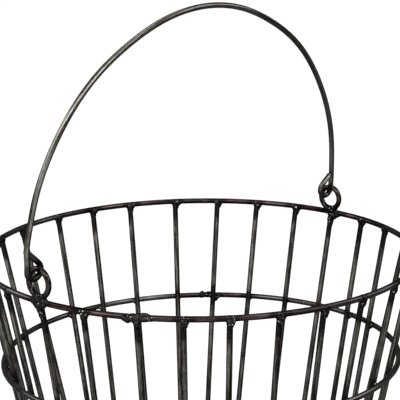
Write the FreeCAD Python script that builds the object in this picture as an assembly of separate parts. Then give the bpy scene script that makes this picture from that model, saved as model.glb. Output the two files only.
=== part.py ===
import FreeCAD, Part
import math
import os

# Round egg collection basket of welded steel wire, millimetres.
# +Z is up and the basket stands on z = 0.  The origin is the centre of the
# base.  +X runs along the bail's hinge line, from one eye to the other.

Vec = FreeCAD.Vector

# ---------------------------------------------------------------- sizes
WIRE_D = 4.3            # one gauge of wire throughout
RIM_R = 166.5           # centreline radius of the rim hoop
RIM_Z = 200.0           # height of the rim hoop's centreline
TAPER = 0.204           # radius lost per millimetre of depth
MIDDLE_DROP = 81.8      # middle hoop below the rim hoop
MIDDLE_TILT = 0.64      # degrees, the middle hoop sits slightly askew
MIDDLE_HIGH_SIDE = -47.9
SINK = 0.15             # how far two wires melt into each other at a weld

# Ribs: where each one meets the rim, and how far its foot strays from a
# true radial line, both in degrees.  They were set by hand and by eye.
RIBS = (
    (0.0, 1.1), (12.3, 2.0), (24.7, 3.8), (36.7, 3.5),
    (49.4, 0.8), (63.3, 0.6), (75.4, 1.6), (87.8, 0.6),
    (103.2, -5.0), (115.0, -3.6), (127.6, -1.5), (140.2, 0.0),
    (152.9, 0.0), (165.5, -0.7), (179.9, -3.8), (193.2, -2.0),
    (207.0, -1.4), (218.2, -1.1), (229.1, 0.8), (241.2, 1.2),
    (253.1, 2.1), (265.4, 0.6), (279.5, 0.9), (293.7, 1.0),
    (309.7, 2.0), (323.7, 4.5), (336.7, -2.2), (348.0, -1.0),
)

# Eyes: the two closed rings welded upright on the rim for the bail.
# They were bent by hand, so the right one and the left one differ.
EYE_R = (9.2, 10.1)     # centreline radius
EYE_RISE = (12.6, 14.2)  # eye centre above the rim's centreline
EYE_X = (164.6, -167.8)
EYE_TURN = (1.0, 0.0)   # degrees, twisted about the upright axis

# Bail: a single bent wire with a teardrop hook closed round each eye.
# Its plane stands BAIL_OFFSET off the hinge line and leans a little.
# Heights in the bail are measured up this plane from BAIL_Z.
BAIL_Z = 212.95
BAIL_LEAN = -4.5        # degrees, negative leans towards -Y
BAIL_OFFSET = 4.0
BAIL_SHIFT = -3.2       # slid along the hinge line by the play in the hooks
# Hook on the right and on the left: distance of the bend's centre from the
# bail's middle, its height, the bend's radius, and where the tip ends.
HOOKS = (
    (166.15, 7.75, 6.45, (168.0, 17.3)),
    (165.6, 9.8, 6.4, (168.7, 22.4)),
)
# Half width of the bail at rising heights, first the foot of each arm.
FEET = (
    ((171.9, 25.0), (170.4, 40.0)),
    ((172.9, 25.0), (170.9, 40.0)),
)
BOW = (
    (166.4, 60.0), (158.9, 80.0), (147.8, 100.0), (132.9, 120.0),
    (111.8, 140.0), (78.8, 160.0), (46.0, 173.0),
)
BOW_TOP = 179.5
STRAIGHT = (0.0, 2.0, 4.0)  # each arm leaves its hook dead straight

# Floor of the basket: parallel wires tied by two cross wires.
FLOOR_PITCH = 25.0
FLOOR_COUNT = 9
CROSS_X = (-40.0, 40.0)

# Welds where each hoop was closed: azimuth and length, in degrees.
RIM_CLOSING = (207.0, 8.0)
MIDDLE_CLOSING = (40.5, 5.0)
BASE_CLOSING = (190.0, 5.0)

# ---------------------------------------------------------------- derived
WIRE_R = WIRE_D / 2.0
BASE_Z = WIRE_R
BASE_R = RIM_R - TAPER * (RIM_Z - BASE_Z)
MIDDLE_Z = RIM_Z - MIDDLE_DROP
SLOPE = math.atan(TAPER)
MIDDLE_R = (RIM_R - TAPER * MIDDLE_DROP
            + (WIRE_D - SINK) / math.cos(SLOPE))
EYE_Z = [RIM_Z + rise for rise in EYE_RISE]


def polar(radius, degrees, z):
    a = math.radians(degrees)
    return Vec(radius * math.cos(a), radius * math.sin(a), z)


def torus(ring_r, tube_r, z):
    return Part.makeTorus(ring_r, tube_r, Vec(0, 0, z), Vec(0, 0, 1))


def rod(start, end, radius=WIRE_R):
    axis = end - start
    return Part.makeCylinder(radius, axis.Length, start, axis)


def ball(centre, radius):
    return Part.makeSphere(radius, centre)


def largest(shape):
    return max(shape.Solids, key=lambda s: s.Volume)


def trimmed(shape, tools):
    """A shape cut by whichever of the tools come near it."""
    box = shape.BoundBox
    near = [t for t in tools if box.intersect(t.BoundBox)]
    return largest(shape.cut(near)) if near else shape


def group(solids):
    return Part.makeCompound(list(solids))


def sleeve(ring_r, tube_r, z, azimuth, length):
    """A short thick length of hoop centred on one azimuth."""
    part = Part.makeTorus(ring_r, tube_r, Vec(0, 0, 0), Vec(0, 0, 1),
                          -180, 180, length)
    part.rotate(Vec(0, 0, 0), Vec(0, 0, 1), azimuth - length / 2.0)
    part.translate(Vec(0, 0, z))
    return part


# ---------------------------------------------------------------- hoops
def tilt(shape):
    """Lays a level shape into the plane of the tilted middle hoop."""
    axis = polar(1.0, MIDDLE_HIGH_SIDE - 90.0, 0.0)
    shape.rotate(Vec(0, 0, MIDDLE_Z), axis, MIDDLE_TILT)
    slip = TAPER * math.tan(math.radians(MIDDLE_TILT)) * MIDDLE_R
    shape.translate(polar(slip, MIDDLE_HIGH_SIDE, 0.0))
    return shape


rim_hoop = torus(RIM_R, WIRE_R, RIM_Z)
middle_hoop = tilt(torus(MIDDLE_R, WIRE_R, MIDDLE_Z))
base_hoop = torus(BASE_R, WIRE_R, BASE_Z)


# ---------------------------------------------------------------- ribs
def rib_point(rib, z):
    """Centre of a rib at a height; every rib is a straight wire."""
    top = polar(RIM_R, rib[0], RIM_Z)
    foot = polar(BASE_R, rib[0] + rib[1], BASE_Z)
    return top + (foot - top) * ((RIM_Z - z) / (RIM_Z - BASE_Z))


def middle_height(rib):
    """Height at which a rib crosses the tilted middle hoop."""
    p = rib_point(rib, MIDDLE_Z)
    along = p.dot(polar(1.0, MIDDLE_HIGH_SIDE, 0.0))
    return MIDDLE_Z + math.tan(math.radians(MIDDLE_TILT)) * along


BUTT = 1.2              # each end stops this short of a hoop's centreline
rib_rods = [rod(rib_point(r, BASE_Z + BUTT), rib_point(r, RIM_Z - BUTT))
            for r in RIBS]
ribs = [trimmed(r, (rim_hoop, middle_hoop, base_hoop)) for r in rib_rods]

# ---------------------------------------------------------------- floor
floor_y = [FLOOR_PITCH * (i - (FLOOR_COUNT - 1) / 2.0)
           for i in range(FLOOR_COUNT)]


def floor_half(y):
    return math.sqrt(BASE_R ** 2 - y ** 2) - BUTT


floor_wires = []
for y in floor_y:
    half = floor_half(y)
    wire = rod(Vec(-half, y, BASE_Z), Vec(half, y, BASE_Z))
    floor_wires.append(trimmed(wire, (base_hoop,)))

cross_z = BASE_Z + WIRE_D - SINK
cross_wires = []
for x in CROSS_X:
    half = math.sqrt(BASE_R ** 2 - x ** 2) + 0.8
    wire = rod(Vec(x, -half, cross_z), Vec(x, half, cross_z))
    cross_wires.append(trimmed(wire, floor_wires + [base_hoop]))

# ---------------------------------------------------------------- eyes
eyes = []
for x, z, radius, turn in zip(EYE_X, EYE_Z, EYE_R, EYE_TURN):
    eye = Part.makeTorus(radius, WIRE_R, Vec(x, 0, z), polar(1.0, turn, 0.0))
    eyes.append(trimmed(eye, (rim_hoop,)))


# ---------------------------------------------------------------- bail
def bail_point(x, v):
    """Point of the bail's plane: x along the hinge line, v up the plane."""
    lean = math.radians(BAIL_LEAN)
    return Vec(x + BAIL_SHIFT,
               BAIL_OFFSET + v * math.sin(lean),
               BAIL_Z + v * math.cos(lean))


def hook(index):
    """Tip line and bend of one hook, from the tip to the foot of the arm."""
    side = (1, -1)[index]
    centre_x, centre_v, radius, (tip_x, tip_v) = HOOKS[index]
    dx = tip_x - centre_x
    dv = tip_v - centre_v
    reach = math.hypot(dx, dv)
    turn = math.atan2(dv, dx) + math.acos(radius / reach)
    px = centre_x + radius * math.cos(turn)
    pv = centre_v + radius * math.sin(turn)
    tip = bail_point(side * tip_x, tip_v)
    start = bail_point(side * px, pv)
    bottom = bail_point(side * centre_x, centre_v - radius)
    end = bail_point(side * (centre_x + radius), centre_v)
    return [Part.makeLine(tip, start), Part.Arc(start, bottom, end).toShape()]


def arm(index):
    """Half of the bail's outline, from the end of one hook to near the top."""
    side = (1, -1)[index]
    centre_x, centre_v, radius, tip = HOOKS[index]
    half = [(centre_x + radius, centre_v + rise) for rise in STRAIGHT]
    half += list(FEET[index]) + list(BOW)
    return [bail_point(side * x, v) for x, v in half]


def bow():
    """The arms and the arch as one smooth curve."""
    points = arm(1) + [bail_point(0.0, BOW_TOP)] + list(reversed(arm(0)))
    curve = Part.BSplineCurve()
    up = bail_point(0.0, 1.0) - bail_point(0.0, 0.0)
    curve.interpolate(Points=points, InitialTangent=up,
                      FinalTangent=up * -1.0)
    return curve.toShape()


def reverse_edges(edges):
    return list(reversed(edges))


path = Part.Wire(hook(1) + [bow()] + reverse_edges(hook(0)))
tip_start = bail_point(-HOOKS[1][3][0], HOOKS[1][3][1])
first = path.OrderedEdges[0]
direction = first.tangentAt(first.FirstParameter)
section = Part.Wire(Part.makeCircle(WIRE_R, tip_start, direction))
bail = path.makePipeShell([section], True, False)

# ---------------------------------------------------------------- welds
BEAD_R = 3.25           # beads where a rib butts against a hoop
BEAD_SIDE = 0.6         # laid from one side, so a little off centre
BEAD_BACK = 2.6

rim_beads = []
middle_beads = []
base_beads = []
for rib, bar in zip(RIBS, rib_rods):
    side = polar(BEAD_SIDE, rib[0] + 90.0, 0.0)
    upper = rib_point(rib, RIM_Z - BEAD_BACK) + side
    rim_beads.append(trimmed(ball(upper, BEAD_R), (bar, rim_hoop)))
    lower = rib_point(rib, BASE_Z + BEAD_BACK) - side
    base_beads.append(trimmed(ball(lower, BEAD_R),
                              [bar, base_hoop] + floor_wires + cross_wires))
    z = middle_height(rib)
    out = rib_point(rib, z - 2.0)
    out = out + Vec(out.x, out.y, 0).normalize() * WIRE_R
    middle_beads.append(trimmed(ball(out, 2.35), (bar, middle_hoop)))

floor_beads = []
for y, wire in zip(floor_y, floor_wires):
    for sign in (-1, 1):
        centre = Vec(sign * (floor_half(y) - 1.2), y, BASE_Z + 0.9)
        floor_beads.append(trimmed(ball(centre, 2.8),
                                   [wire, base_hoop] + base_beads + rib_rods))

cross_beads = []
for x, wire in zip(CROSS_X, cross_wires):
    for sign in (-1, 1):
        end = math.sqrt(BASE_R ** 2 - x ** 2)
        centre = Vec(x, sign * (end - 2.4), BASE_Z + 2.0)
        cross_beads.append(trimmed(
            ball(centre, 2.7),
            [wire, base_hoop] + floor_wires + floor_beads + base_beads))

eye_beads = []
for x, eye in zip(EYE_X, eyes):
    edge = math.copysign(RIM_R, x)
    saddle = ball(Vec(0, 0, 0), 1.0)
    shape = FreeCAD.Matrix()
    shape.scale(3.5, 6.2, 3.1)
    saddle = saddle.transformGeometry(shape)
    saddle.translate(Vec((x + edge) / 2.0, 0, RIM_Z + 1.9))
    eye_beads.append(trimmed(saddle, [eye, rim_hoop] + rib_rods + rim_beads))

near_rim = rib_rods + rim_beads
rim_closing = trimmed(sleeve(RIM_R, 2.65, RIM_Z, *RIM_CLOSING),
                      [rim_hoop] + near_rim)
middle_closing = trimmed(tilt(sleeve(MIDDLE_R, 2.6, MIDDLE_Z,
                                     *MIDDLE_CLOSING)),
                         [middle_hoop] + rib_rods + middle_beads)
base_closing_cut = [base_hoop] + rib_rods + base_beads + floor_wires
base_closing_cut += floor_beads
base_closing = sleeve(BASE_R, 2.55, BASE_Z, *BASE_CLOSING)
above_floor = Part.makeBox(400, 400, 20, Vec(-200, -200, 0.05))
base_closing = trimmed(base_closing.common(above_floor), base_closing_cut)

# ---------------------------------------------------------------- output
nodes = {
    "rim_hoop": rim_hoop,
    "middle_hoop": middle_hoop,
    "base_hoop": base_hoop,
    "eye_right": eyes[0],
    "eye_left": eyes[1],
    "bail": bail,
    "rim_beads": group(rim_beads),
    "middle_beads": group(middle_beads),
    "base_beads": group(base_beads),
    "floor_beads": group(floor_beads),
    "cross_beads": group(cross_beads),
    "eye_beads": group(eye_beads),
    "rim_closing_weld": rim_closing,
    "middle_closing_weld": middle_closing,
    "base_closing_weld": base_closing,
}
for number, rib in enumerate(ribs, 1):
    nodes["rib_%02d" % number] = rib
for number, wire in enumerate(floor_wires, 1):
    nodes["floor_wire_%d" % number] = wire
for number, wire in enumerate(cross_wires, 1):
    nodes["cross_wire_%d" % number] = wire

os.makedirs("parts", exist_ok=True)
for name, shape in nodes.items():
    shape.exportStep("parts/%s.step" % name)
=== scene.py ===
import math

import bpy
import numpy as np
from mathutils import Matrix, Vector


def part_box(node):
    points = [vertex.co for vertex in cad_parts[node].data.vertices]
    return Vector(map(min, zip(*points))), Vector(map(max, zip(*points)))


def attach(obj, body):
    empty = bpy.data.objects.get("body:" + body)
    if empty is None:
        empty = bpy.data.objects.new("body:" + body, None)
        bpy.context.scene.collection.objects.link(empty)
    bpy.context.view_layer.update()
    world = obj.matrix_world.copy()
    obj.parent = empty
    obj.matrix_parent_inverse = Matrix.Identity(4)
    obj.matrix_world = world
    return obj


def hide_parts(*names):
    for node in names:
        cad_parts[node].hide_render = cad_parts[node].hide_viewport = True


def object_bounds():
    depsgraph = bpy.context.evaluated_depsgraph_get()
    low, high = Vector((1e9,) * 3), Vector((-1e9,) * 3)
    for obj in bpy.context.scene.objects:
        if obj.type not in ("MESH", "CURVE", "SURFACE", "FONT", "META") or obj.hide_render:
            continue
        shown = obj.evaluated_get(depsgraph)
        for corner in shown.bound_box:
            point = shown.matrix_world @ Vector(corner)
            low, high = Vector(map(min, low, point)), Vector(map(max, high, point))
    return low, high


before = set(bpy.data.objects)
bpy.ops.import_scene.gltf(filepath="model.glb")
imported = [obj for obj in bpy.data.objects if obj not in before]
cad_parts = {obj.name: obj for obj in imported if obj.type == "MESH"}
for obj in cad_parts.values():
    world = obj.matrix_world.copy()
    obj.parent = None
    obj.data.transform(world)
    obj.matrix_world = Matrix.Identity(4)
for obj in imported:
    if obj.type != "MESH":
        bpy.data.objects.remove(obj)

# Looks of a round egg basket of hand-welded, clear-lacquered steel wire.
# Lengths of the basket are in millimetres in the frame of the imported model
# until make_piece turns them to metres. The stage is in metres. Directions
# are azimuths in degrees, anticlockwise from +X.

TO_MM = 1000.0
TO_M = 0.001

cad_low, cad_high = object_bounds()
LOW = np.array(cad_low) * TO_MM
HIGH = np.array(cad_high) * TO_MM

WIRE_R = 2.15
SIDES = 24                  # facets round a wire
COAT = 0.09                 # thickness of lacquer and scale on a wire
EYE_COAT = 0.02
BAIL_COAT = 0.04
RIB_COUNT = 28
FLOOR_COUNT = 9
CROSS_COUNT = 2
UP = np.array((0.0, 0.0, 1.0))

# Bail: its plane stands a little off the hinge line and leans; sizes are
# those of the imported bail. Points in its plane are given across and up.
BAIL_LEAN = math.radians(-4.5)
BAIL_OFFSET = 4.0
BAIL_SHIFT = -3.2
BAIL_Z = 212.95
# Hooks, the right one first: bend centre across and up, bend radius, tip,
# how far the tip is sprung sideways so that it lies against the arm, and
# how far the bend bulges the other way.
HOOKS = ((166.15, 7.75, 6.45, (168.3, 19.2), -1.3, 1.0),
         (165.6, 9.8, 6.4, (170.4, 24.2), 3.9, 0.0))
# Points of each arm's foot, then those that both arms share, up to the top.
FEET = (((171.9, 25.0), (170.4, 40.0)), ((172.9, 25.0), (170.9, 40.0)))
BOW = ((166.4, 60.0), (158.9, 80.0), (147.8, 100.0), (132.9, 120.0),
       (111.8, 140.0), (78.8, 160.0), (46.0, 173.0))
BOW_TOP = 179.5

# Azimuth and length of the weld that closes each hoop, in degrees.
RIM_CLOSING = (207.0, 8.0)
MIDDLE_CLOSING = (40.5, 5.0)
BASE_CLOSING = (190.0, 5.0)


# ------------------------------------------------------------ small maths
def unit(v):
    return v / np.linalg.norm(v)


def ease(x, start, end):
    """From 0 at start to 1 at end, level at both."""
    t = np.clip((x - start) / (end - start), 0.0, 1.0)
    return t * t * (3.0 - 2.0 * t)


def scatter(cell, seed):
    """A repeatable number from 0 to 1 for each whole-number cell.

    The large numbers only stir the bits.
    """
    c = cell.astype(np.int64)
    h = c[..., 0] * 73856093 ^ c[..., 1] * 19349663 ^ c[..., 2] * 83492791
    h = (h ^ seed * 2654435761) & 0xFFFFFFFF
    h = (h ^ h >> 15) * 2246822519 & 0xFFFFFFFF
    h = (h ^ h >> 13) * 3266489917 & 0xFFFFFFFF
    return ((h ^ h >> 16) & 0xFFFF) / 65535.0


def noise(points, size, seed):
    """Smooth noise from -1 to 1 whose lumps are about size across."""
    p = points / size
    base = np.floor(p)
    t = p - base
    t = t * t * (3.0 - 2.0 * t)
    total = np.zeros(len(p))
    for corner in range(8):
        step = np.array((corner & 1, corner >> 1 & 1, corner >> 2 & 1))
        weight = np.prod(np.where(step, t, 1.0 - t), axis=1)
        total += weight * scatter(base + step, seed)
    return total * 2.0 - 1.0


# ------------------------------------------------- reading the CAD nodes
def node_points(name):
    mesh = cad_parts[name].data
    flat = np.empty(len(mesh.vertices) * 3)
    mesh.vertices.foreach_get("co", flat)
    return flat.reshape(-1, 3) * TO_MM


FIT_ROUNDS = 6
FIT_WITHIN = 0.5            # of the wire's skin, for a point to count
FIT_REFERENCE = (0.3, 0.5, 0.8)     # any direction that no wire runs in


def wire_line(name):
    """Both ends of the centreline of a straight wire, the lower one first."""
    points = node_points(name)
    middle = points.mean(0)
    axis = np.linalg.svd(points - middle, full_matrices=False)[2][0]
    for _ in range(FIT_ROUNDS):
        side = unit(np.cross(axis, FIT_REFERENCE))
        other = np.cross(axis, side)
        local = points - middle
        along = local @ axis
        off = np.stack((local @ side, local @ other), 1)
        far = np.linalg.norm(off, axis=1)
        near = np.abs(far - WIRE_R) < FIT_WITHIN
        lean = off / far[:, None]
        rows = np.column_stack((lean, lean * along[:, None]))[near]
        fit = np.linalg.lstsq(rows, (far - WIRE_R)[near], rcond=None)[0]
        middle = middle + side * fit[0] + other * fit[1]
        axis = unit(axis + side * fit[2] + other * fit[3])
    along = (points - middle) @ axis
    ends = [middle + axis * along.min(), middle + axis * along.max()]
    return sorted(ends, key=lambda p: tuple(np.round(p, 2))[::-1])


def hoop_ring(name):
    """Centre, axis and centreline radius of a whole hoop."""
    points = node_points(name)
    centre = (points.min(0) + points.max(0)) / 2.0
    axis = np.linalg.svd(points - points.mean(0), full_matrices=False)[2][2]
    axis = axis * np.sign(axis[2])
    local = points - centre
    flat = np.linalg.norm(local - np.outer(local @ axis, axis), axis=1)
    return centre, axis, (flat.min() + flat.max()) / 2.0


def eye_ring(name):
    """Centre and centreline radius of one of the upright eyes."""
    low, high = (np.array(c) * TO_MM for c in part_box(name))
    radius = (high[1] - low[1]) / 2.0 - WIRE_R
    centre = (low + high) / 2.0
    centre[2] = high[2] - WIRE_R - radius
    return centre, radius


rim = hoop_ring("rim_hoop")
middle = hoop_ring("middle_hoop")
base = hoop_ring("base_hoop")
ribs = [wire_line("rib_%02d" % n) for n in range(1, RIB_COUNT + 1)]
floors = [wire_line("floor_wire_%d" % n) for n in range(1, FLOOR_COUNT + 1)]
crosses = [wire_line("cross_wire_%d" % n) for n in range(1, CROSS_COUNT + 1)]
eyes = {"right": eye_ring("eye_right"), "left": eye_ring("eye_left")}


def at_height(line, z):
    """The point at a height on a line that isn't level."""
    low, high = line
    return low + (high - low) * (z - low[2]) / (high[2] - low[2])


def azimuth(point):
    return math.degrees(math.atan2(point[1], point[0]))


def ring_frame(ring):
    """Two directions in the plane of a hoop; the first looks along +X."""
    axis = ring[1]
    ahead = unit(np.array((1.0, 0.0, 0.0)) - axis * axis[0])
    return ahead, np.cross(axis, ahead)


def on_ring(ring, degrees):
    """Points of a hoop's centreline at angles from its first direction."""
    ahead, side = ring_frame(ring)
    a = np.radians(np.atleast_1d(degrees))[:, None]
    return ring[0] + ring[2] * (np.cos(a) * ahead + np.sin(a) * side)


rib_tops = [at_height(r, rim[0][2]) for r in ribs]
rib_feet = [at_height(r, base[0][2]) for r in ribs]


def middle_crossing(line):
    """Where a rib passes the middle hoop's plane, and the hoop beside it."""
    low, high = line
    t = ((middle[0] - low) @ middle[1]) / ((high - low) @ middle[1])
    point = low + (high - low) * t
    ahead, side = ring_frame(middle)
    local = point - middle[0]
    degrees = math.degrees(math.atan2(local @ side, local @ ahead))
    return point, on_ring(middle, degrees)[0]


crossings = [middle_crossing(r) for r in ribs]


# --------------------------------------------------------------- materials
class Nodes:
    """Short names for the few node kinds that the steels are made of."""

    def __init__(self, name):
        self.material = bpy.data.materials.new(name)
        self.material.use_nodes = True
        self.tree = self.material.node_tree
        self.shader = self.tree.nodes["Principled BSDF"]

    def put(self, socket, value):
        if isinstance(value, bpy.types.NodeSocket):
            self.tree.links.new(value, socket)
        else:
            socket.default_value = value

    def new(self, kind, **settings):
        node = self.tree.nodes.new(kind)
        for key, value in settings.items():
            setattr(node, key, value)
        return node

    def attribute(self, name, output="Fac"):
        node = self.new("ShaderNodeAttribute", attribute_name=name)
        return node.outputs[output]

    def place(self):
        return self.new("ShaderNodeTexCoord").outputs["Object"]

    def stretch(self, vector, scale, shift=(0.0, 0.0, 0.0)):
        node = self.new("ShaderNodeMapping")
        self.put(node.inputs["Vector"], vector)
        node.inputs["Scale"].default_value = scale
        node.inputs["Location"].default_value = shift
        return node.outputs["Vector"]

    def noise(self, vector, scale, detail=3.0, rough=0.55, warp=0.0):
        node = self.new("ShaderNodeTexNoise")
        self.put(node.inputs["Vector"], vector)
        node.inputs["Scale"].default_value = scale
        node.inputs["Detail"].default_value = detail
        node.inputs["Roughness"].default_value = rough
        node.inputs["Distortion"].default_value = warp
        return node.outputs["Fac"]

    def range(self, value, low, high, to_low=0.0, to_high=1.0):
        node = self.new("ShaderNodeMapRange", interpolation_type="SMOOTHSTEP")
        self.put(node.inputs["Value"], value)
        for key, number in (("From Min", low), ("From Max", high),
                            ("To Min", to_low), ("To Max", to_high)):
            node.inputs[key].default_value = number
        return node.outputs["Result"]

    def maths(self, operation, a, b):
        node = self.new("ShaderNodeMath", operation=operation)
        self.put(node.inputs[0], a)
        self.put(node.inputs[1], b)
        return node.outputs[0]

    def mix(self, factor, a, b, how="MIX"):
        node = self.new("ShaderNodeMix", data_type="RGBA", blend_type=how)
        self.put(node.inputs["Factor"], factor)
        self.put(node.inputs[6], a if not isinstance(a, tuple) else (*a, 1.0))
        self.put(node.inputs[7], b if not isinstance(b, tuple) else (*b, 1.0))
        return node.outputs[2]

    def bump(self, height, strength, distance):
        node = self.new("ShaderNodeBump")
        self.put(node.inputs["Height"], height)
        node.inputs["Strength"].default_value = strength
        node.inputs["Distance"].default_value = distance
        return node.outputs["Normal"]

    def lacquered(self, weight, roughness):
        for key, number in (("Metallic", METALLIC),
                            ("Specular IOR Level", SPECULAR),
                            ("Coat Weight", weight),
                            ("Coat Roughness", roughness)):
            self.shader.inputs[key].default_value = number


METALLIC = 0.9
SPECULAR = 0.5
WIRE_COAT_ROUGHNESS = 0.12
WELD_COAT_ROUGHNESS = 0.04
WIRE_BUMP = 0.00012         # metres
WELD_BUMP = 0.0005          # metres
SOOT = 0.32                 # soot and pits, as shares of the dark colour
PIT = 0.4
MOTTLE = 0.5
# Painted highlight: a lighter steel colour, near white at its strongest, mixed in where
# the sheen layer is set, in place of reflections of the lamps.
SHEEN_DARK = (0.085, 0.081, 0.078)
SHEEN_LIGHT = (0.270, 0.258, 0.248)
GLINT_WHITE = (0.85, 0.83, 0.80)
GLINT_FROM = 0.82        # share of the painted sheen above which the painted highlight turns near white
RUST = (0.19, 0.072, 0.024)
# colour of the painted highlights specked over the welds
PAINTED_GLINT_SPECK = (0.62, 0.59, 0.56)


def shade(colour, share):
    return tuple(share * c for c in colour)


def wire_steel(name, dark, light, tint, shine, lacquer, relief=0.35):
    """Drawn steel wire under clear lacquer.

    dark and light are the colours of the streaks left by drawing, tint is
    the colour where welding heat has run along the wire, shine is the
    lower and upper roughness, lacquer is how much clear coat there is, and
    relief is the strength of the bump. Streaks and lines are drawn out
    along the grain. The scales of the other noises are per metre.
    """
    n = Nodes(name)
    grain = n.attribute("grain", "Vector")
    heat = n.attribute("scorch")
    place = n.place()
    streak = n.noise(n.stretch(grain, (1.5, 1.5, 0.022)), 1.0, 5.0, 0.68)
    line = n.noise(n.stretch(grain, (9.0, 9.0, 0.05)), 1.0, 3.0, 0.6)
    mottle = n.noise(place, 95.0, 4.0, 0.6, 0.6)
    grime = n.noise(place, 340.0, 4.0, 0.65)
    colour = n.mix(n.range(streak, 0.43, 0.58), dark, light)
    colour = n.mix(n.range(mottle, 0.42, 0.74, 0.0, 0.6), colour,
                   shade(dark, MOTTLE))
    burnt = n.maths("ADD", heat, n.range(mottle, 0.3, 0.7, -0.12, 0.12))
    colour = n.mix(n.range(burnt, 0.15, 0.45, 0.0, 0.85), colour, tint)
    colour = n.mix(n.range(burnt, 0.34, 0.62, 0.0, 0.94), colour,
                   shade(dark, SOOT))
    # Painted highlight: the sheen layer mixes in a lighter steel, near white at its top,
    # in place of a reflection, and smooths the surface a little.
    painted_sheen = n.attribute("painted_sheen")
    sheen = n.mix(n.range(streak, 0.40, 0.60), SHEEN_DARK, SHEEN_LIGHT)
    sheen = n.mix(n.range(painted_sheen, GLINT_FROM, 1.0), sheen, GLINT_WHITE)
    colour = n.mix(painted_sheen, colour, sheen)
    rust_spot = n.noise(n.stretch(place, (1, 1, 1), (3.1, 0.7, 1.9)),
                        520.0, 2.0, 0.5)
    rust = n.range(rust_spot, 0.68, 0.75, 0.0, 0.8)
    colour = n.mix(rust, colour, RUST)
    n.put(n.shader.inputs["Base Color"], colour)
    rough = n.range(grime, 0.3, 0.7, shine[0], shine[1])
    rough = n.maths("ADD", rough, n.range(rust, 0.0, 1.0, 0.0, 0.25))
    rough = n.maths("SUBTRACT", rough,
                    n.range(painted_sheen, GLINT_FROM, 1.0, 0.0, 0.12))
    n.put(n.shader.inputs["Roughness"], rough)
    height = n.maths("ADD", n.maths("MULTIPLY", line, 0.6), grime)
    n.put(n.shader.inputs["Normal"], n.bump(height, relief, WIRE_BUMP))
    n.lacquered(lacquer, WIRE_COAT_ROUGHNESS)
    return n.material


def weld_steel(name, dark, light, lacquer):
    """Lumpy weld metal: scale, pits and painted highlights as bright specks, under
    lacquer.
    """
    n = Nodes(name)
    place = n.place()
    scale = n.noise(place, 420.0, 3.0, 0.6, 0.8)
    pits = n.noise(place, 1300.0, 3.0, 0.6)
    # Painted highlight: near-white specks in the colour stand in for glints of light on
    # the lumps.
    glint_specks = n.noise(n.stretch(place, (1, 1, 1), (0.7, 2.9, 1.3)), 640.0,
                    2.0, 0.5)
    colour = n.mix(n.range(scale, 0.36, 0.66), dark, light)
    colour = n.mix(n.range(pits, 0.55, 0.75, 0.0, 0.7), colour,
                   shade(dark, PIT))
    colour = n.mix(n.range(glint_specks, 0.635, 0.68, 0.0, 0.9), colour,
                   PAINTED_GLINT_SPECK)
    n.put(n.shader.inputs["Base Color"], colour)
    n.put(n.shader.inputs["Roughness"], n.range(scale, 0.3, 0.7, 0.30, 0.10))
    height = n.maths("ADD", scale, n.maths("MULTIPLY", pits, 0.3))
    n.put(n.shader.inputs["Normal"], n.bump(height, 0.8, WELD_BUMP))
    n.lacquered(lacquer, WELD_COAT_ROUGHNESS)
    return n.material


steels = {
    "rib_wire": wire_steel(
        "rib_steel", dark=(0.022, 0.019, 0.016), light=(0.250, 0.230, 0.199),
        tint=(0.052, 0.040, 0.033), shine=(0.24, 0.42), lacquer=0.12),
    "floor_wire": wire_steel(
        "floor_steel", dark=(0.028, 0.025, 0.021),
        light=(0.180, 0.165, 0.144), tint=(0.060, 0.042, 0.033),
        shine=(0.26, 0.44), lacquer=0.15),
    "hoop_wire": wire_steel(
        "hoop_steel", dark=(0.011, 0.007, 0.006), light=(0.080, 0.055, 0.051),
        tint=(0.036, 0.015, 0.013), shine=(0.14, 0.27), lacquer=0.12),
    "eye_wire": wire_steel(
        "eye_steel", dark=(0.009, 0.006, 0.005), light=(0.040, 0.024, 0.018),
        tint=(0.024, 0.011, 0.007), shine=(0.06, 0.14), lacquer=0.3),
    "bail_wire": wire_steel(
        "bail_steel", dark=(0.086, 0.080, 0.069), light=(0.225, 0.212, 0.188),
        tint=(0.052, 0.040, 0.032), shine=(0.15, 0.27), lacquer=0.18,
        relief=0.14),
    "weld_metal": weld_steel(
        "weld_steel", dark=(0.003, 0.0025, 0.002),
        light=(0.018, 0.013, 0.011), lacquer=0.22),
}


# ------------------------------------------------------------------ meshes
SHARP_ANGLE = 40.0          # edges that turn by more are drawn sharp


def make_piece(name, points, faces, slot, body, nodes, grain=None,
               scorch=None, painted_sheen=None, edges=True):
    """One shown piece that stands for CAD nodes and rides on their body.

    grain holds texture coordinates round and along a wire for each face
    corner, scorch says for each point how burnt it is, and the sheen layer
    how much painted highlight lies on it. edges is false on a piece that is
    smooth all over.
    """
    mesh = bpy.data.meshes.new(name)
    points = np.clip(points, LOW, HIGH) * TO_M
    mesh.from_pydata(points.tolist(), [], [list(f) for f in faces])
    mesh.update()
    mesh.shade_smooth()
    for layer_name, kind, domain, key, values in (
            ("grain", "FLOAT_VECTOR", "CORNER", "vector", grain),
            ("scorch", "FLOAT", "POINT", "value", scorch),
            ("painted_sheen", "FLOAT", "POINT", "value", painted_sheen)):
        if values is not None:
            layer = mesh.attributes.new(layer_name, kind, domain)
            layer.data.foreach_set(key, np.asarray(values, float).ravel())
    mesh.materials.append(steels[slot])
    piece = bpy.data.objects.new(name, mesh)
    bpy.context.scene.collection.objects.link(piece)
    if edges:
        mark_sharp(mesh, SHARP_ANGLE)
    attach(piece, body)
    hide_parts(*nodes)


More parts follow.
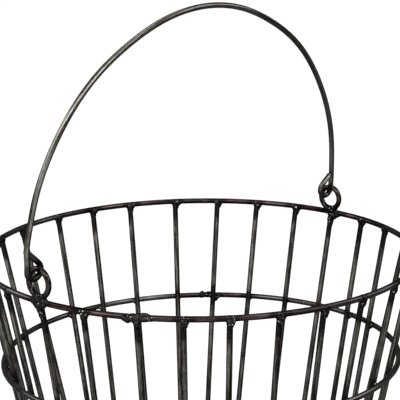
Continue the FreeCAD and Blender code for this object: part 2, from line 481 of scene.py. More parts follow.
def mark_sharp(mesh, degrees):
    """Marks the edges between faces that turn by more than an angle."""
    normals = np.empty(len(mesh.polygons) * 3)
    mesh.polygons.foreach_get("normal", normals)
    normals = normals.reshape(-1, 3)
    edge_of = np.empty(len(mesh.loops), np.int64)
    mesh.loops.foreach_get("edge_index", edge_of)
    totals = np.empty(len(mesh.polygons), np.int64)
    mesh.polygons.foreach_get("loop_total", totals)
    face_of = np.repeat(np.arange(len(totals)), totals)
    order = np.argsort(edge_of, kind="stable")
    edges, faces = edge_of[order], face_of[order]
    pairs = np.nonzero(edges[1:] == edges[:-1])[0]
    turn = (normals[faces[pairs]] * normals[faces[pairs + 1]]).sum(1)
    sharp = np.zeros(len(mesh.edges), bool)
    sharp[edges[pairs]] = turn < math.cos(math.radians(degrees))
    layer = mesh.attributes.new("sharp_edge", "BOOLEAN", "EDGE")
    layer.data.foreach_set("value", sharp)


UNEVEN = ((0.022, 5.0), (0.010, 1.7))   # height and size of the waviness
DOME_ANGLES = (25.0, 50.0, 72.0)        # rings on a rounded end
DOME_RISE = 0.75
DOME_GRAIN = 0.7            # how far the grain runs on over a rounded end
GRAIN_SHIFT = 61.0          # so that no two wires show the same stretch
GRAIN_SHIFTS = 29


def sweep(path, flat, closed, seed, domes=False, coat=COAT):
    """Points, faces and grain of a round wire bent in one plane.

    flat is the direction square to that plane. The surface is very
    slightly uneven, as drawn and hand-bent wire is.
    """
    path = np.asarray(path, float)
    if closed:
        tangent = np.roll(path, -1, 0) - np.roll(path, 1, 0)
        hops = np.linalg.norm(np.roll(path, -1, 0) - path, axis=1)
    else:
        tangent = np.gradient(path, axis=0)
        hops = np.linalg.norm(np.diff(path, axis=0), axis=1)
    tangent /= np.linalg.norm(tangent, axis=1)[:, None]
    along = np.concatenate(([0.0], np.cumsum(hops)))
    flat = unit(np.asarray(flat, float))
    across = np.cross(tangent, flat)
    across /= np.linalg.norm(across, axis=1)[:, None]
    square = np.cross(across, tangent)
    turn = np.arange(SIDES) * 2.0 * math.pi / SIDES
    spoke = (np.cos(turn)[None, :, None] * across[:, None, :]
             + np.sin(turn)[None, :, None] * square[:, None, :])
    full = WIRE_R + coat
    surface = (path[:, None, :] + spoke * full).reshape(-1, 3)
    uneven = sum(height * noise(surface, size, seed + n)
                 for n, (height, size) in enumerate(UNEVEN))
    radius = full + uneven.reshape(len(path), SIDES)
    rings = [path[:, None, :] + spoke * radius[:, :, None]]
    reached = [along[:len(path)]]
    if domes:
        for end, sign in ((0, -1.0), (-1, 1.0)):
            extra, place = [], []
            for angle in DOME_ANGLES:
                a = math.radians(angle)
                push = tangent[end] * sign * DOME_RISE * math.sin(a)
                size = full - DOME_RISE * (1.0 - math.cos(a))
                extra.append(path[end] + push + spoke[end] * size)
                place.append(reached[0][end]
                             + sign * DOME_GRAIN * math.sin(a))
            if end == 0:
                rings.insert(0, np.array(extra[::-1]))
                reached.insert(0, np.array(place[::-1]))
            else:
                rings.append(np.array(extra))
                reached.append(np.array(place))
    rings = np.concatenate(rings)
    reached = np.concatenate(reached)
    count = len(rings)
    faces, corners = [], []
    for i in range(count if closed else count - 1):
        j = (i + 1) % count
        s0 = reached[i]
        s1 = reached[j] if j else along[-1]
        for k in range(SIDES):
            m = (k + 1) % SIDES
            faces.append((i * SIDES + k, i * SIDES + m,
                          j * SIDES + m, j * SIDES + k))
            corners += [(k, s0), (k + 1, s0), (k + 1, s1), (k, s1)]
    if not closed:
        faces.append(tuple(range(SIDES))[::-1])
        faces.append(tuple(range((count - 1) * SIDES, count * SIDES)))
        corners += [(k, reached[0]) for k in range(SIDES)][::-1]
        corners += [(k, reached[-1]) for k in range(SIDES)]
    corners = np.array(corners, float)
    angle = corners[:, 0] * 2.0 * math.pi / SIDES
    shift = GRAIN_SHIFT * (seed % GRAIN_SHIFTS)
    grain = np.stack((np.cos(angle), np.sin(angle), corners[:, 1] + shift), 1)
    return rings.reshape(-1, 3), faces, grain


HEAT_CORE = 2.0             # wholly burnt within this of a weld
HEAT_EDGE = (1.6, 4.0, 77)  # ragged edge of the heat: depth, size and seed


def heat_near(points, spots, reach):
    """From 1 at a weld down to 0 at reach from it, a little uneven."""
    nearest = np.full(len(points), np.inf)
    for spot in spots:
        nearest = np.minimum(nearest,
                             np.linalg.norm(points - spot, axis=1))
    depth, size, seed = HEAT_EDGE
    nearest = nearest + depth * noise(points, size, seed)
    return 1.0 - ease(nearest, HEAT_CORE, reach)


def stations(length, pitch):
    """Even shares of a length, from 0 to 1, about pitch apart."""
    return np.linspace(0.0, 1.0, max(int(length / pitch), 2) + 1)[:, None]


HOOP_STEPS = 360
HOOP_HEAT = (0.8, 16.0)     # at each bead: how strong, and how far it ran
EYE_FOOT_HEAT = 28.0
SHEEN_PATCHES = (0.22, 7.0)  # depth and size of patches in a stretch of painted highlight
# Stretches of hoops with a painted highlight, a lighter colour in place of a reflection:
# azimuth, how far it stays full and how far the last trace is to either side, in degrees,
# and how strong it is.
RIM_BRIGHT = ((154.0, 14.0, 25.0, 0.75), (108.0, 15.0, 27.0, 0.7),
              (322.0, 12.0, 30.0, 0.5), (275.0, 18.0, 28.0, 0.5))
MIDDLE_BRIGHT = ((65.0, 8.0, 21.0, 0.78), (112.0, 26.0, 40.0, 0.7),
                 (156.0, 14.0, 32.0, 0.8), (340.0, 34.0, 48.0, 0.5),
                 (284.0, 20.0, 32.0, 0.75))


def hoop(name, ring, node, spots, seed, start, bright=()):
    """A hoop welded at spots, whose grain starts at an azimuth."""
    degrees = start + np.arange(HOOP_STEPS) * 360.0 / HOOP_STEPS
    path = on_ring(ring, degrees)
    points, faces, grain = sweep(path, ring[1], True, seed)
    # Painted highlight, in patches, on the listed stretches.
    painted_sheen = np.zeros(len(points))
    at = np.degrees(np.arctan2(points[:, 1], points[:, 0]))
    for where, inner, outer, sheen_share in bright:
        away = np.abs((at - where + 180.0) % 360.0 - 180.0)
        painted_sheen = np.maximum(painted_sheen, sheen_share * (1.0 - ease(away, inner, outer)))
    depth, size = SHEEN_PATCHES
    painted_sheen *= 1.0 - depth + depth * noise(points, size, seed)
    feet = [centre - UP * radius for centre, radius in eyes.values()]
    strength, reach = HOOP_HEAT
    scorch = np.maximum(strength * heat_near(points, spots, reach),
                        heat_near(points, feet, EYE_FOOT_HEAT))
    make_piece(name, points, faces, "hoop_wire", "basket", [node],
               grain, scorch, painted_sheen)


hoop("wire_rim", rim, "rim_hoop", rib_tops, 11, RIM_CLOSING[0], RIM_BRIGHT)
hoop("wire_middle", middle, "middle_hoop",
     [(p + q) / 2.0 for p, q in crossings], 12, MIDDLE_CLOSING[0],
     MIDDLE_BRIGHT)
hoop("wire_base", base, "base_hoop", rib_feet, 13, BASE_CLOSING[0])

STRAIGHT_PITCH = 4.0
BOW_REFERENCE = (0.42, 0.77, 0.48)  # any direction that no wire runs in


def straight(name, line, node, slot, heat, seed, bow=0.0):
    """A straight wire, bowed by a hair where it was straightened by hand.

    heat lists welds as a point, how far the heat ran, and how strongly.
    """
    low, high = line
    span = high - low
    t = stations(np.linalg.norm(span), STRAIGHT_PITCH)
    side = unit(np.cross(span, BOW_REFERENCE))
    path = low + span * t + side * bow * np.sin(math.pi * t)
    points, faces, grain = sweep(path, side, False, seed)
    scorch = np.zeros(len(points))
    for spot, reach, strength in heat:
        scorch = np.maximum(scorch,
                            strength * heat_near(points, [spot], reach))
    make_piece(name, points, faces, slot, "basket", [node], grain, scorch)


# Metal run on beyond the usual bead of a few ribs: rib number, then blobs
# as distance along the rim (towards rising azimuth), drop and radius.
RUN_ON = {
    1: ((-3.4, 3.2, 2.7), (-6.6, 1.9, 2.2), (-9.6, 1.0, 1.7),
        (0.2, 6.2, 2.6), (-0.2, 9.4, 2.3)),
    15: ((-3.2, 3.6, 2.7), (-5.8, 2.4, 2.0), (-8.2, 1.5, 1.5),
         (-1.6, 7.2, 2.4), (-0.9, 10.6, 2.2), (3.4, 2.0, 1.9)),
    28: ((-2.6, 2.8, 2.0),),
}
RUN_ON_HEAT = 1.5           # how much further heat ran on those ribs
ROUGH_CROSSING = 4          # the rib with a burnt, heavy weld half way down
TOP_HEAT, TOP_HEAT_SPREAD = 28.0, 10.0
FOOT_HEAT = (24.0, 0.9)
CROSSING_HEAT = 16.0
FLOOR_HEAT = (20.0, 0.9)
RIB_BOW = 0.3

for number, line in enumerate(ribs, 1):
    crossing = sum(crossings[number - 1]) / 2.0
    bow = RIB_BOW * float(noise(np.array([[number * 3.7, 0.5, 0.5]]),
                                1.0, 5)[0])
    ran = TOP_HEAT + TOP_HEAT_SPREAD * float(
        noise(np.array([[0.5, number * 2.3, 0.5]]), 1.0, 6)[0])
    if number in RUN_ON:
        ran *= RUN_ON_HEAT
    burnt = 1.0 if number == ROUGH_CROSSING else 0.55
    straight("wire_rib_%02d" % number, line, "rib_%02d" % number, "rib_wire",
             [(line[1], ran, 1.0), (line[0], *FOOT_HEAT),
              (crossing, CROSSING_HEAT, burnt)], 100 + number, bow)
for kind, lines, seed in (("floor", floors, 200), ("cross", crosses, 220)):
    for number, line in enumerate(lines, 1):
        straight("wire_%s_%d" % (kind, number), line,
                 "%s_wire_%d" % (kind, number), "floor_wire",
                 [(end, *FLOOR_HEAT) for end in line], seed + number)

EYE_STEPS = 96
EYE_HEAT = 15.0

for side, (centre, radius) in eyes.items():
    a = np.radians(np.arange(EYE_STEPS) * 360.0 / EYE_STEPS - 90.0)[:, None]
    path = centre + radius * (np.cos(a) * (0, 1.0, 0) + np.sin(a) * UP)
    points, faces, grain = sweep(path, (1.0, 0.0, 0.0), True,
                                 31 if side == "right" else 32, coat=EYE_COAT)
    make_piece("ring_" + side, points, faces, "eye_wire", "basket",
               ["eye_" + side], grain,
               heat_near(points, [centre - UP * radius], EYE_HEAT))


# -------------------------------------------------------------------- bail
LEG_STEPS = 12              # of a hook's leg, from its tip to its bend
BEND_STEPS = 32
ARCH_PITCH = 2.2


def bail_point(x, v, aside):
    """A point given across, up and sideways of the bail's plane."""
    return np.array((x + BAIL_SHIFT,
                     BAIL_OFFSET + v * math.sin(BAIL_LEAN) + aside,
                     BAIL_Z + v * math.cos(BAIL_LEAN)))


def smooth_curve(points, first, last, pitch):
    """The smooth curve through points with given end directions."""
    points = np.asarray(points, float)
    knots = np.concatenate(([0.0], np.cumsum(
        np.linalg.norm(np.diff(points, axis=0), axis=1))))
    count = len(points)
    gaps = np.diff(knots)
    system = np.zeros((count, count))
    target = np.zeros((count, points.shape[1]))
    system[0, 0] = system[-1, -1] = 1.0
    target[0], target[-1] = first, last
    for i in range(1, count - 1):
        before, after = gaps[i - 1], gaps[i]
        system[i, i - 1:i + 2] = (after, 2.0 * (before + after), before)
        target[i] = 3.0 * (after * (points[i] - points[i - 1]) / before
                           + before * (points[i + 1] - points[i]) / after)
    slopes = np.linalg.solve(system, target)
    out = []
    for i in range(count - 1):
        steps = max(int(gaps[i] / pitch), 1)
        t = np.arange(steps)[:, None] / steps
        h = gaps[i]
        out.append((2 * t ** 3 - 3 * t ** 2 + 1) * points[i]
                   + (t ** 3 - 2 * t ** 2 + t) * h * slopes[i]
                   + (-2 * t ** 3 + 3 * t ** 2) * points[i + 1]
                   + (t ** 3 - t ** 2) * h * slopes[i + 1])
    return np.concatenate(out + [points[-1:]])


def hook_path(x, v, radius, tip, spring, bulge):
    """Tip to foot of the arm: across, up and sideways of the bail's plane."""
    dx, dv = tip[0] - x, tip[1] - v
    turn = (math.atan2(dv, dx)
            + math.acos(radius / math.hypot(dx, dv)))
    start = (x + radius * math.cos(turn), v + radius * math.sin(turn))
    leg = [(start[0] + (tip[0] - start[0]) * t,
            start[1] + (tip[1] - start[1]) * t)
           for t in np.linspace(1.0, 0.0, LEG_STEPS + 1)[:-1]]
    bend = [(x + radius * math.cos(a), v + radius * math.sin(a))
            for a in np.linspace(turn, 2.0 * math.pi, BEND_STEPS + 1)[:-1]]
    flat = np.array(leg + bend)
    gone = np.linalg.norm(np.diff(flat, axis=0, append=flat[-1:]), axis=1)
    gone = np.cumsum(gone[::-1])[::-1] / gone.sum()
    # How far aside the wire stands at shares of its way from arm to tip,
    # rounded off by a moving mean.
    if bulge:
        shares = (0.0, 0.12, 0.36, 0.56, 1.0)
        asides = (0.0, 0.0, 0.6 * bulge, bulge, spring)
    else:
        shares = (0.0, 0.55, 0.72, 1.0)
        asides = (0.0, 0.0, 0.15 * spring, spring)
    shifts = np.linspace(-0.09, 0.09, 7)
    aside = sum(np.interp(gone + shift, shares, asides)
                for shift in shifts) / len(shifts)
    return np.column_stack((flat, aside))


def bail_path():
    """The wire from tip to tip, and how many points the left hook has.

    Points are across, up and sideways, as bail_point takes them.
    """
    right, left = [hook_path(*hook) for hook in HOOKS]
    arms = [[(h[0] + h[2], h[1] + rise) for rise in (0.0, 2.0, 4.0)]
            + list(foot) + list(BOW) for h, foot in zip(HOOKS, FEET)]
    arch = smooth_curve(arms[0] + [(0.0, BOW_TOP)]
                        + [(-x, v) for x, v in reversed(arms[1])],
                        (0.0, 1.0), (0.0, -1.0), ARCH_PITCH)
    arch = np.column_stack((arch, np.zeros(len(arch))))
    left = left[::-1] * (-1.0, 1.0, 1.0)
    return np.concatenate((right, arch, left)), len(left)


line, turned = bail_path()
path = np.array([bail_point(*p) for p in line])
points, faces, grain = sweep(path, (0.0, math.cos(BAIL_LEAN),
                                    -math.sin(BAIL_LEAN)),
                             False, 41, domes=True, coat=BAIL_COAT)

# A painted highlight, a near-white colour in place of a reflection, runs along a line on
# the right hook's leg, on the side that faces one azimuth.
GLINT_AZIMUTH = math.radians(246.0)
GLINT_SIDE = unit(np.array((math.cos(GLINT_AZIMUTH),
                             math.sin(GLINT_AZIMUTH), 0.1)))
GLINT_REACH = (6.5, 4.0)   # from the leg's middle: nothing, then all of it
GLINT_EDGE = (0.86, 0.97)  # nothing, then all, as the skin faces that side
leg = path[:LEG_STEPS]
off = points[:, None, :] - leg
near = np.argmin(np.linalg.norm(off, axis=2), axis=1)
off = off[np.arange(len(points)), near]
facing = np.clip(off @ GLINT_SIDE / WIRE_R, -1.0, 1.0)
beside = ease(np.linalg.norm(points - leg[LEG_STEPS // 2], axis=1),
              *GLINT_REACH)

# Both hooks are scorched, the left one more, fading far up its arm.
HOOK_HEAT = 9.0
RIGHT_SCORCH, LEFT_SCORCH = 0.34, 0.72
ARM_SCORCH, ARM_HEAT = 0.36, 64.0
right_hook = path[:LEG_STEPS + BEND_STEPS - 2:3]
scorch = np.maximum(
    RIGHT_SCORCH * heat_near(points, right_hook, HOOK_HEAT),
    LEFT_SCORCH * heat_near(points, path[-turned::3], HOOK_HEAT))
scorch = np.maximum(
    scorch, ARM_SCORCH * heat_near(points, [path[-turned]], ARM_HEAT))
make_piece("bail_wire", points, faces, "bail_wire", "bail", ["bail"], grain,
           scorch, painted_sheen=beside * ease(facing, *GLINT_EDGE))


# ------------------------------------------------------------------- welds
# A field gives how far points are outside a shape, below zero inside it.


def rod_field(a, b, radius=WIRE_R):
    a, b = np.asarray(a, float), np.asarray(b, float)
    span = b - a

    def field(p):
        t = np.clip((p - a) @ span / (span @ span), 0.0, 1.0)
        return np.linalg.norm(p - a - t[:, None] * span, axis=1) - radius
    return field


def ring_field(centre, axis, ring_r, radius=WIRE_R):
    def field(p):
        local = p - centre
        up = local @ axis
        out = np.linalg.norm(local - np.outer(up, axis), axis=1) - ring_r
        return np.hypot(up, out) - radius
    return field


def blob_field(centre, radius):
    def field(p):
        return np.linalg.norm(p - centre, axis=1) - radius
    return field


def melt(a, b, k):
    """Two shapes run together with a fillet about k across."""
    h = np.clip(0.5 + 0.5 * (b - a) / k, 0.0, 1.0)
    return b * (1.0 - h) + a * h - k * h * (1.0 - h)


BLOB_FILLET = 1.3
LUMPS = ((1.9, 1.0), (0.8, 0.45))   # size and share of the lumpiness
RAGGED = (2.2, 0.12)        # size and depth of a weld's ragged edge
WELD_RISE = 0.10            # how far the skin stands out at a weld's middle
WELD_SINK = 0.60            # how far it dips into the wires to its edge


def weld_field(centre, wires, blobs, seed, reach, fillet=2.0, lumps=0.22):
    """Wires and blobs of metal run together round a centre."""
    def field(p):
        total = wires[0](p)
        for wire in wires[1:]:
            total = melt(total, wire(p), fillet)
        for blob in blobs:
            total = melt(total, blob(p), BLOB_FILLET)
        far = np.linalg.norm(p - centre, axis=1) / reach
        core = 1.0 - ease(far, 0.35, 0.85)
        for n, (size, share) in enumerate(LUMPS):
            total = total - core * lumps * share * noise(p, size, seed + n)
        size, depth = RAGGED
        edge = far + depth * noise(p, size, seed + 2)
        total = total - WELD_RISE + WELD_SINK * ease(edge, 0.45, 0.95)
        return np.maximum(total, (far - 1.0) * reach)
    return field


def bead(spot, sideways, rows):
    """Blobs from rows of drop below a spot, shift to its side and radius."""
    return [blob_field(spot - UP * drop + sideways * shift, radius)
            for drop, shift, radius in rows]


PROBE = 0.05                # for the slope of a field
PULLS = 3                   # times that a skin's points are drawn to it
PULL_LIMIT = 0.3            # of a step, each time
CORNERS = [(i, j, k) for i in (0, 1) for j in (0, 1) for k in (0, 1)]


def skin(field, low, high, step):
    """Quads round the zero level of a field, drawn onto it."""
    low = np.asarray(low, float)
    size = np.ceil((np.asarray(high) - low) / step).astype(int) + 1
    grid = np.stack(np.meshgrid(*[np.arange(n) for n in size],
                                indexing="ij"), -1)
    value = field((low + grid.reshape(-1, 3) * step)).reshape(size)
    inside = value < 0.0
    cells = size - 1
    count = sum(inside[i:i + cells[0], j:j + cells[1], k:k + cells[2]]
                .astype(int) for i, j, k in CORNERS)
    live = (count > 0) & (count < 8)
    index = np.full(cells, -1)
    index[live] = np.arange(live.sum())
    total = np.zeros((*cells, 3))
    hits = np.zeros(cells)
    for axis in range(3):
        for a in (0, 1):
            for b in (0, 1):
                o = [a, b]
                o.insert(axis, 0)
                e = list(o)
                e[axis] = 1
                f0 = value[tuple(slice(c, c + n) for c, n in zip(o, cells))]
                f1 = value[tuple(slice(c, c + n) for c, n in zip(e, cells))]
                cut = (f0 < 0) != (f1 < 0)
                t = np.where(cut, f0 / np.where(cut, f0 - f1, 1.0), 0.0)
                spot = np.zeros((*cells, 3))
                spot[...] = o
                spot[..., axis] += t
                total += np.where(cut[..., None], spot, 0.0)
                hits += cut
    where = np.argwhere(live)
    points = low + step * (where + total[live] / hits[live][:, None])
    faces = []
    for axis in range(3):
        u, v = [(1, 2), (2, 0), (0, 1)][axis]
        cut = inside != np.roll(inside, -1, axis)
        for other in range(3):
            keep = np.zeros(size[other], bool)
            keep[1 if other != axis else 0:size[other] - 1] = True
            shape = [1, 1, 1]
            shape[other] = size[other]
            cut = cut & keep.reshape(shape)
        at = np.argwhere(cut)
        ring = []
        for du, dv in ((-1, -1), (0, -1), (0, 0), (-1, 0)):
            c = at.copy()
            c[:, u] += du
            c[:, v] += dv
            ring.append(index[c[:, 0], c[:, 1], c[:, 2]])
        quad = np.stack(ring, 1)
        flip = ~inside[at[:, 0], at[:, 1], at[:, 2]]
        quad[flip] = quad[flip][:, ::-1]
        faces.append(quad)
    faces = np.concatenate(faces)
    for _ in range(PULLS):
        level = field(points)
        slope = np.stack([(field(points + d) - level) / PROBE
                          for d in np.eye(3) * PROBE], 1)
        push = -level[:, None] * slope / np.maximum(
            (slope ** 2).sum(1), 0.2)[:, None]
        length = np.linalg.norm(push, axis=1)[:, None]
        points = points + push * np.minimum(
            1.0, PULL_LIMIT * step / np.maximum(length, 1e-9))
    return points, faces


SKIN_STEP = 0.42
CLOSING_STEP = 0.4


class Welds:
    """Gathers welds into one piece of separate closed skins."""

    def __init__(self, name, nodes):
        self.name, self.nodes = name, nodes
        self.points, self.faces, self.count = [], [], 0

    def add(self, centre, wires, blobs, seed, reach, step=SKIN_STEP,
            **options):
        """One weld, which ends at reach from its centre."""
        field = weld_field(centre, wires, blobs, seed, reach, **options)
        points, faces = skin(field, centre - reach - step,
                             centre + reach + step, step)
        self.points.append(points)
        self.faces.append(faces + self.count)
        self.count += len(points)

    def done(self):
        make_piece(self.name, np.concatenate(self.points),
                   np.concatenate(self.faces).tolist(), "weld_metal",
                   "basket", self.nodes, edges=False)


def chance(seed, low=-1.0, high=1.0):
    """A repeatable number from low to high."""
    value = scatter(np.array([[seed, 7 * seed + 3, 11]]), 9)[0]
    return low + (high - low) * float(value)


rim_field = ring_field(*rim)
middle_field = ring_field(*middle)
base_field = ring_field(*base)

# Beads on the rim hang below it, and to the right of their ribs as the
# camera sees them. On the far side that is towards falling azimuth.
FAR_SIDE = 42.0
FALL_FROM, FALL_TO = -50.0, 75.0    # from the middle of the far side
LONG_RUN = 3                # blobs run on that need a larger skin

rim_welds = Welds("rim_welds", ["rim_beads"])
for number, (line, top) in enumerate(zip(ribs, rib_tops), 1):
    outward = unit(top * (1.0, 1.0, 0.0))
    sideways = np.cross(UP, outward)
    facing = (azimuth(top) - FAR_SIDE + 180.0) % 360.0 - 180.0
    aside = sideways * (-1.0 if FALL_FROM < facing < FALL_TO else 1.0)
    shift = 3.2 if abs(facing) < 90.0 else 2.8
    size = chance(number, 0.85, 1.1)
    blobs = bead(top, aside, ((3.0, 1.1, 2.3 * size),
                              (2.0, shift * size, 1.42 * size),
                              (5.2 * size, 0.7, 2.1 * size)))
    blobs += bead(top - outward * 1.2, sideways,
                  ((1.3, chance(number + 40) * 1.5, 1.5),))
    down = unit(line[0] - line[1])
    more = RUN_ON.get(number, ())
    blobs += [blob_field(top + sideways * x + down * drop, r)
              for x, drop, r in more]
    drop, reach = (4.0, 14.0) if len(more) >= LONG_RUN else (2.0, 8.6)
    rim_welds.add(top - UP * drop + aside * 0.8,
                  [rim_field, rod_field(line[0], top - UP * 2.4)], blobs,
                  300 + 7 * number, reach, fillet=1.9, lumps=0.3)
rim_welds.done()

middle_welds = Welds("middle_welds", ["middle_beads"])
for number, (line, (inner, outer)) in enumerate(zip(ribs, crossings), 1):
    sideways = np.cross(UP, unit(outer - inner))
    aside = sideways * (1.0 if chance(number + 80) > 0 else -1.0)
    spot = (inner + outer) / 2.0
    reach = 5.8
    blobs = bead(spot, aside, ((1.9, 0.5, 1.5), (0.7, 2.2, 1.2)))
    if number == ROUGH_CROSSING:
        blobs += bead(spot, -sideways,
                      ((4.0, 1.4, 1.7), (2.4, 3.0, 1.7), (0.8, 5.0, 1.7)))
        reach = 8.0
    middle_welds.add(spot, [middle_field, rod_field(*line)], blobs,
                     600 + 7 * number, reach, fillet=1.3, lumps=0.2)
middle_welds.done()

base_welds = Welds("base_welds", ["base_beads"])
for number, (line, foot) in enumerate(zip(ribs, rib_feet), 1):
    sideways = np.cross(UP, unit(foot * (1.0, 1.0, 0.0)))
    aside = sideways * (1.0 if chance(number + 120) > 0 else -1.0)
    base_welds.add(foot + UP * 1.6, [base_field, rod_field(foot, line[1])],
                   bead(foot, aside, ((-2.4, 0.9, 2.2), (-1.4, 2.6, 1.4))),
                   900 + 7 * number, 6.6)
base_welds.done()

floor_welds = Welds("floor_welds", ["floor_beads"])
for number, line in enumerate(floors, 1):
    for end, start in (line, line[::-1]):
        inward = unit(start - end)
        tip = end - inward * 1.0
        floor_welds.add(tip + UP * 0.3, [base_field, rod_field(tip, start)],
                        bead(tip, inward, ((-0.8, 1.4, 2.1),)),
                        1200 + 7 * number + int(inward[0] > 0), 5.6,
                        lumps=0.18)
floor_welds.done()

cross_welds = Welds("cross_welds", ["cross_beads"])
for number, line in enumerate(crosses, 1):
    for end, start in (line, line[::-1]):
        inward = unit(start - end)
        cross_welds.add(end + inward * 1.5 - UP * 1.4,
                        [base_field, rod_field(end, start)],
                        bead(end, inward, ((1.6, 2.2, 2.1),)),
                        1300 + 7 * number + int(inward[1] > 0), 5.6,
                        lumps=0.18)
cross_welds.done()

# Blobs of an eye's weld: along the rim, up and radius.
EYE_BLOBS = ((3.6, 1.1, 2.7), (-3.2, 0.6, 2.5), (0.2, 0.6, 3.0),
             (6.2, -0.6, 2.2), (-5.4, -1.2, 1.7), (0.0, -3.4, 2.6),
             (8.6, -1.6, 1.5))

eye_welds = Welds("eye_welds", ["eye_beads"])
for number, (centre, radius) in enumerate(eyes.values(), 1):
    edge = math.copysign(rim[2], centre[0])
    spot = np.array(((centre[0] + edge) / 2.0, 0.0, rim[0][2] + 1.6))
    ring = ring_field(centre, np.array((1.0, 0.0, 0.0)), radius)
    blobs = [blob_field(spot + (0, y, z), r) for y, z, r in EYE_BLOBS]
    eye_welds.add(spot, [rim_field, ring], blobs, 1400 + number, 12.0,
                  fillet=3.0, lumps=0.34)
eye_welds.done()


CLOSING_ASIDE = 1.5         # how far its blobs stand off the hoop's middle
CLOSING_SIZES = (0.62, 1.15)        # least and most, as shares of thick
CLOSING_SPAN = 0.42         # of its length, to its outermost blobs


def closing_weld(name, node, ring, closing, seed, thick, count):
    """Rough, spattered weld where the two ends of a hoop meet.

    closing is its azimuth and length in degrees, thick the usual radius
    of its blobs, and count how many there are.
    """
    welds = Welds(name, [node])
    middle_at, length = closing
    reach = math.radians(length) * ring[2] / 2.0 + 1.5
    centre = on_ring(ring, middle_at)[0]
    blobs = []
    for i in range(count):
        share = (i + 0.5) / count * 2.0 - 1.0
        spot = on_ring(ring, middle_at + share * length * CLOSING_SPAN)[0]
        aside = unit(np.array([chance(seed + 3 * i), chance(seed + 3 * i + 1),
                               chance(seed + 3 * i + 2)]) + 1e-3)
        size = chance(seed + 50 + i, *CLOSING_SIZES)
        blobs.append(blob_field(spot + aside * CLOSING_ASIDE, size * thick))
    welds.add(centre, [ring_field(*ring)], blobs, seed, reach,
              CLOSING_STEP, lumps=0.95)
    welds.done()


closing_weld("rim_joint_weld", "rim_closing_weld", rim, RIM_CLOSING,
             1500, 2.4, 13)
closing_weld("middle_joint_weld", "middle_closing_weld", middle,
             MIDDLE_CLOSING, 1600, 2.1, 8)
closing_weld("base_joint_weld", "base_closing_weld", base, BASE_CLOSING,
             1700, 1.6, 6)


# ------------------------------------------------------------------- stage
BEARING = 42.15             # way the camera looks
ELEVATION = 13.887          # how far it looks down
ROLL = -0.59
DISTANCE = 1.2690           # metres, from the point it aims at
AIM = Vector((0.00044, -0.00048, 0.24189))
LENS = 148.82               # real millimetres, as is the sensor's width
SENSOR = 36.0

PAPER_ASIDE = 18.0          # from the camera's side, where it is brightest
PAPER_GLOW = 1.0
PAPER_EDGE = (0.18, 0.50)   # metres that way: no glow yet, and full glow
PAPER_HALF = 9.0            # metres, from the basket to the paper's edge
PAPER_DROP = 0.0002         # metres, below the basket


def paper():
    """Bright paper that the wires mirror on the camera's side only."""
    n = Nodes("floor_paper")
    n.shader.inputs["Base Color"].default_value = (0.10, 0.10, 0.10, 1.0)
    n.shader.inputs["Roughness"].default_value = 0.9
    n.shader.inputs["Emission Color"].default_value = (1.0, 1.0, 1.0, 1.0)
    spread = n.new("ShaderNodeVectorMath", operation="DOT_PRODUCT")
    n.put(spread.inputs[0], n.place())
    toward = math.radians(BEARING + 180.0 - PAPER_ASIDE)
    spread.inputs[1].default_value = (math.cos(toward), math.sin(toward), 0.0)
    mirrored = n.range(spread.outputs["Value"], *PAPER_EDGE, 0.0, PAPER_GLOW)
    seen = n.new("ShaderNodeLightPath").outputs["Is Camera Ray"]
    pick = n.new("ShaderNodeMix", data_type="FLOAT")
    n.put(pick.inputs["Factor"], seen)
    n.put(pick.inputs[2], mirrored)
    pick.inputs[3].default_value = 1.0
    n.put(n.shader.inputs["Emission Strength"], pick.outputs[0])
    return n.material


mesh = bpy.data.meshes.new("floor")
mesh.from_pydata([(x * PAPER_HALF, y * PAPER_HALF, 0.0) for x, y in
                  ((-1, -1), (1, -1), (1, 1), (-1, 1))], [], [(0, 1, 2, 3)])
mesh.materials.append(paper())
floor = bpy.data.objects.new("floor", mesh)
floor.location.z = -PAPER_DROP
bpy.context.scene.collection.objects.link(floor)
floor.visible_diffuse = False

# The camera sees a white room, and everything else a dark one.
DARK_ROOM = (0.05, 0.05, 0.05, 1.0)
world = bpy.data.worlds.new("studio")
bpy.context.scene.world = world
world.use_nodes = True
tree = world.node_tree
backdrop = tree.nodes["Background"]
backdrop.inputs["Color"].default_value = (1.0, 1.0, 1.0, 1.0)
room = tree.nodes.new("ShaderNodeBackground")
room.inputs["Color"].default_value = DARK_ROOM
which = tree.nodes.new("ShaderNodeMixShader")
path_kind = tree.nodes.new("ShaderNodeLightPath")
tree.links.new(path_kind.outputs["Is Camera Ray"], which.inputs[0])
tree.links.new(room.outputs[0], which.inputs[1])
tree.links.new(backdrop.outputs[0], which.inputs[2])
tree.links.new(which.outputs[0], tree.nodes["World Output"].inputs["Surface"])

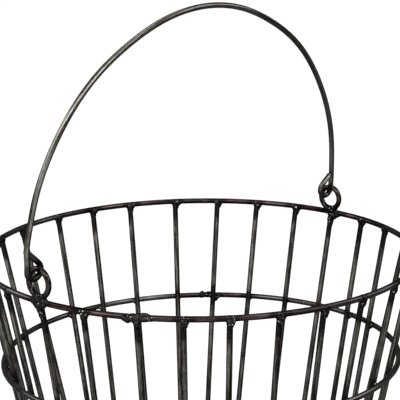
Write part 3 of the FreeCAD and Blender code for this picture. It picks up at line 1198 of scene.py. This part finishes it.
bearing, elevation = math.radians(BEARING), math.radians(ELEVATION)
ahead = Vector((math.cos(bearing) * math.cos(elevation),
                math.sin(bearing) * math.cos(elevation),
                -math.sin(elevation)))
level_right = Vector((math.sin(bearing), -math.cos(bearing), 0.0))
level_up = level_right.cross(ahead)
roll = math.radians(ROLL)
right = math.cos(roll) * level_right + math.sin(roll) * level_up
up = right.cross(ahead)
camera = bpy.data.objects.new("camera", bpy.data.cameras.new("camera"))
camera.data.sensor_width = SENSOR
camera.data.lens = LENS
camera.data.clip_start = 0.05
camera.data.clip_end = 60.0
turn = Matrix((right, up, -ahead)).transposed().to_4x4()
camera.matrix_world = Matrix.Translation(AIM - ahead * DISTANCE) @ turn
bpy.context.scene.collection.objects.link(camera)
bpy.context.scene.camera = camera

# Area lights, in metres and watts: angle from the camera's side, rise,
# distance, width, height and strength.
SOFTBOXES = {
    "left_box": (-48.0, 32.0, 1.7, 0.8, 1.2, 12.0),
    "right_box": (52.0, 40.0, 1.7, 0.8, 1.2, 12.0),
    "front_box": (-6.0, 48.0, 1.7, 1.3, 0.45, 14.0),
    "top_box": (180.0, 74.0, 1.5, 1.2, 0.8, 5.0),
    "room_box": (8.0, 12.0, 2.4, 2.2, 0.9, 9.0),
    "left_side": (-100.0, 30.0, 1.7, 0.9, 1.0, 8.0),
    "right_side": (100.0, 30.0, 1.7, 0.9, 1.0, 5.0),
}
LIT_POINT = Vector((0.0, 0.0, 0.2))

for name, (aside, rise, distance, width, height, watts) in SOFTBOXES.items():
    a = math.radians(BEARING + 180.0 + aside)
    e = math.radians(rise)
    way = Vector((math.cos(a) * math.cos(e), math.sin(a) * math.cos(e),
                  math.sin(e)))
    light = bpy.data.objects.new(name, bpy.data.lights.new(name, "AREA"))
    light.data.shape = "RECTANGLE"
    light.data.size, light.data.size_y = width, height
    light.data.energy = watts
    light.location = LIT_POINT + way * distance
    light.rotation_mode = "QUATERNION"
    light.rotation_quaternion = way.to_track_quat("Z", "Y")
    bpy.context.scene.collection.objects.link(light)

bpy.context.scene.view_settings.view_transform = "Standard"
bpy.context.scene.view_settings.look = "None"
